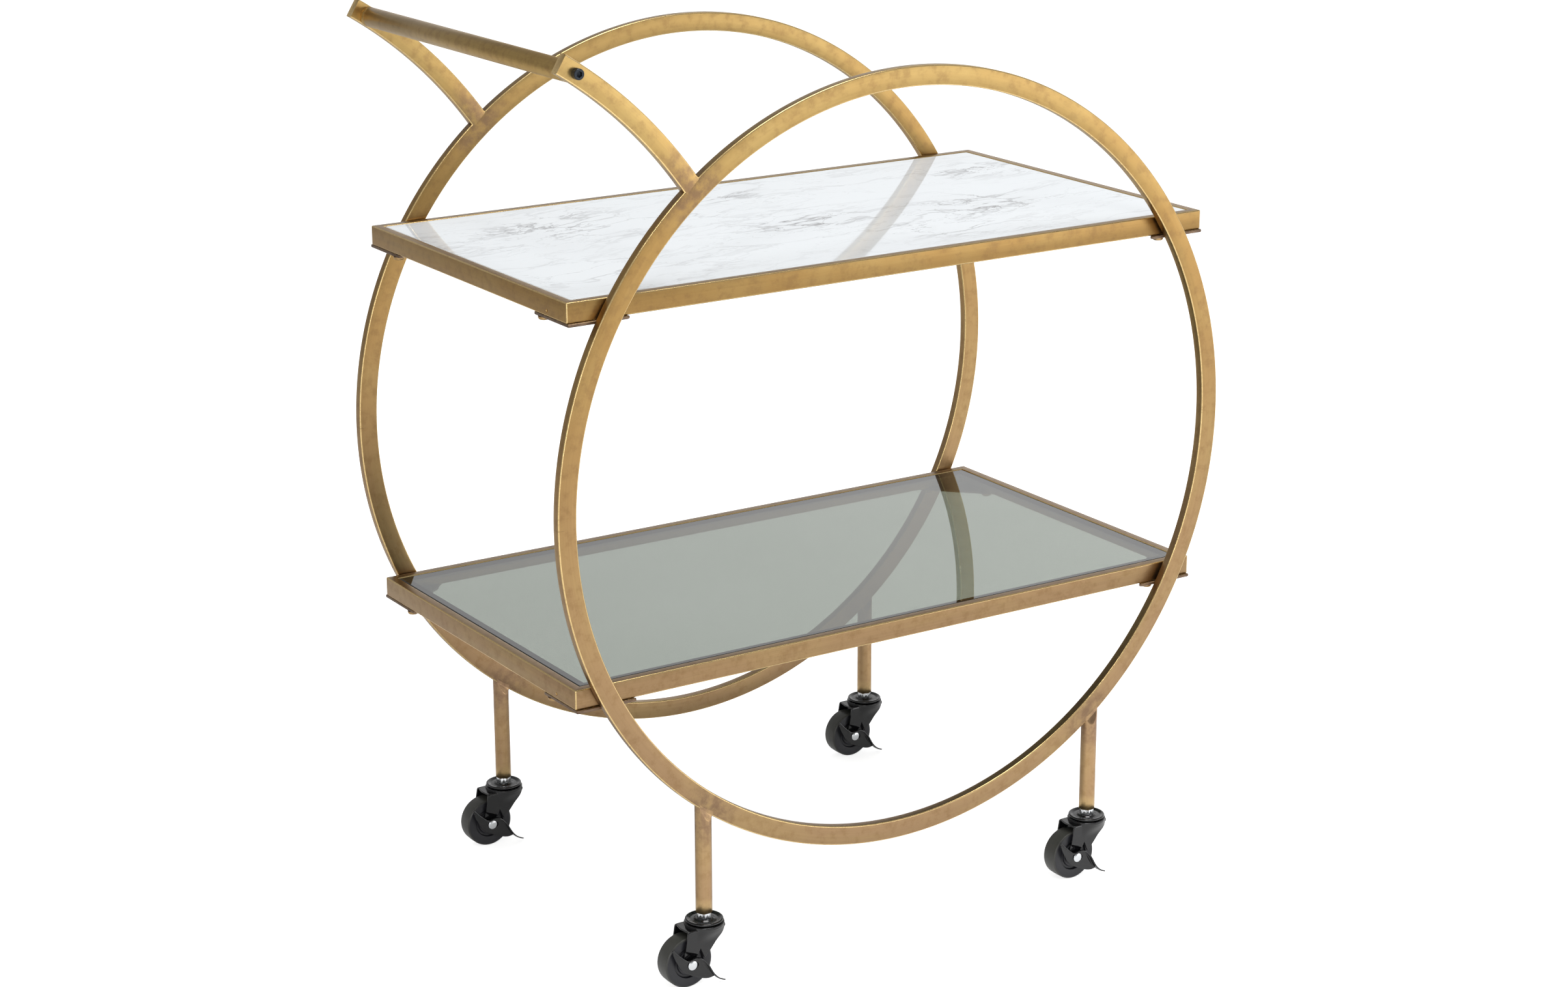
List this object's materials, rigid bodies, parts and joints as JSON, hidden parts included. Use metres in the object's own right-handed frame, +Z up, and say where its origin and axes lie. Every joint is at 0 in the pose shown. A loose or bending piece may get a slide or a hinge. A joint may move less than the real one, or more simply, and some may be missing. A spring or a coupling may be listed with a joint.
{
  "type": "bar cart",
  "caption": "Bar cart with two round upright hoops, an upper marble-look shelf, a lower smoked glass shelf, a push handle and braked swivel casters.",
  "frame": {"origin": "on the floor, straight under the middle of the cart", "axes": "+X along the trays away from the handle, +Y from the front hoop to the rear hoop, +Z up"},
  "size_m": [0.7599, 0.4433, 0.8972],
  "materials": {
    "antique_brass": "steel tube with a brushed antique brass plating, darker and purple brown round the welds",
    "dark_bronze": "steel sheet with a dark bronze plating, satin",
    "black_oxide": "blue black oxide on alloy steel",
    "black_lacquer": "gloss black lacquer on pressed steel",
    "zinc_steel": "bright zinc plate",
    "grey_rubber": "matt dark grey solid rubber",
    "marble_glass": "opaque white marble pattern under gloss glass",
    "smoked_glass": "grey green tinted float glass, polished"
  },
  "bodies": {
    "cart": {"front_hoop": "antique_brass", "front_handle_arm": "antique_brass", "rear_hoop": "antique_brass", "rear_handle_arm": "antique_brass", "handle_bar": "antique_brass", "handle_screws": "black_oxide", "upper_front_rail": "antique_brass", "upper_rear_rail": "antique_brass", "upper_left_rail": "antique_brass", "upper_right_rail": "antique_brass", "upper_ledge_strips": "dark_bronze", "upper_front_left_corner_plate": "dark_bronze", "upper_front_right_corner_plate": "dark_bronze", "upper_rear_left_corner_plate": "dark_bronze", "upper_rear_right_corner_plate": "dark_bronze", "lower_front_rail": "antique_brass", "lower_rear_rail": "antique_brass", "lower_left_rail": "antique_brass", "lower_right_rail": "antique_brass", "lower_ledge_strips": "dark_bronze", "lower_front_left_corner_plate": "dark_bronze", "lower_front_right_corner_plate": "dark_bronze", "lower_rear_left_corner_plate": "dark_bronze", "lower_rear_right_corner_plate": "dark_bronze", "marble_panel": "marble_glass", "smoked_glass_panel": "smoked_glass", "caster_stems": "zinc_steel", "caster_race_cups": "black_lacquer", "front_left_leg": "antique_brass", "front_right_leg": "antique_brass", "rear_left_leg": "antique_brass", "rear_right_leg": "antique_brass"},
    "front_left_swivel": {"front_left_caster_fork": "black_lacquer", "front_left_caster_axle": "zinc_steel"},
    "front_left_wheel": {"front_left_caster_wheel": "grey_rubber"},
    "front_left_brake": {"front_left_brake_lever": "black_lacquer"},
    "front_right_swivel": {"front_right_caster_fork": "black_lacquer", "front_right_caster_axle": "zinc_steel"},
    "front_right_wheel": {"front_right_caster_wheel": "grey_rubber"},
    "front_right_brake": {"front_right_brake_lever": "black_lacquer"},
    "rear_left_swivel": {"rear_left_caster_fork": "black_lacquer", "rear_left_caster_axle": "zinc_steel"},
    "rear_left_wheel": {"rear_left_caster_wheel": "grey_rubber"},
    "rear_left_brake": {"rear_left_brake_lever": "black_lacquer"},
    "rear_right_swivel": {"rear_right_caster_fork": "black_lacquer", "rear_right_caster_axle": "zinc_steel"},
    "rear_right_wheel": {"rear_right_caster_wheel": "grey_rubber"},
    "rear_right_brake": {"rear_right_brake_lever": "black_lacquer"}
  },
  "joints": [
    {"name": "front_left_caster_swivel", "type": "hinge", "parent": "cart", "child": "front_left_swivel", "pos_m": [-0.2305, -0.20225, 0.0585], "axis": [0, 0, 1], "continuous": true},
    {"name": "front_left_wheel_spin", "type": "hinge", "parent": "front_left_swivel", "child": "front_left_wheel", "pos_m": [-0.253, -0.20225, 0.0255], "axis": [0, 1, 0], "continuous": true},
    {"name": "front_left_brake_pedal", "type": "hinge", "parent": "front_left_swivel", "child": "front_left_brake", "pos_m": [-0.253, -0.20225, 0.0255], "axis": [0, -1, 0], "range_deg": [0, 28]},
    {"name": "front_right_caster_swivel", "type": "hinge", "parent": "cart", "child": "front_right_swivel", "pos_m": [0.2305, -0.20225, 0.0585], "axis": [0, 0, 1], "continuous": true},
    {"name": "front_right_wheel_spin", "type": "hinge", "parent": "front_right_swivel", "child": "front_right_wheel", "pos_m": [0.208, -0.20225, 0.0255], "axis": [0, 1, 0], "continuous": true},
    {"name": "front_right_brake_pedal", "type": "hinge", "parent": "front_right_swivel", "child": "front_right_brake", "pos_m": [0.208, -0.20225, 0.0255], "axis": [0, -1, 0], "range_deg": [0, 28]},
    {"name": "rear_left_caster_swivel", "type": "hinge", "parent": "cart", "child": "rear_left_swivel", "pos_m": [-0.2305, 0.20225, 0.0585], "axis": [0, 0, 1], "continuous": true},
    {"name": "rear_left_wheel_spin", "type": "hinge", "parent": "rear_left_swivel", "child": "rear_left_wheel", "pos_m": [-0.253, 0.20225, 0.0255], "axis": [0, 1, 0], "continuous": true},
    {"name": "rear_left_brake_pedal", "type": "hinge", "parent": "rear_left_swivel", "child": "rear_left_brake", "pos_m": [-0.253, 0.20225, 0.0255], "axis": [0, -1, 0], "range_deg": [0, 28]},
    {"name": "rear_right_caster_swivel", "type": "hinge", "parent": "cart", "child": "rear_right_swivel", "pos_m": [0.2305, 0.20225, 0.0585], "axis": [0, 0, 1], "continuous": true},
    {"name": "rear_right_wheel_spin", "type": "hinge", "parent": "rear_right_swivel", "child": "rear_right_wheel", "pos_m": [0.208, 0.20225, 0.0255], "axis": [0, 1, 0], "continuous": true},
    {"name": "rear_right_brake_pedal", "type": "hinge", "parent": "rear_right_swivel", "child": "rear_right_brake", "pos_m": [0.208, 0.20225, 0.0255], "axis": [0, -1, 0], "range_deg": [0, 28]}
  ]
}
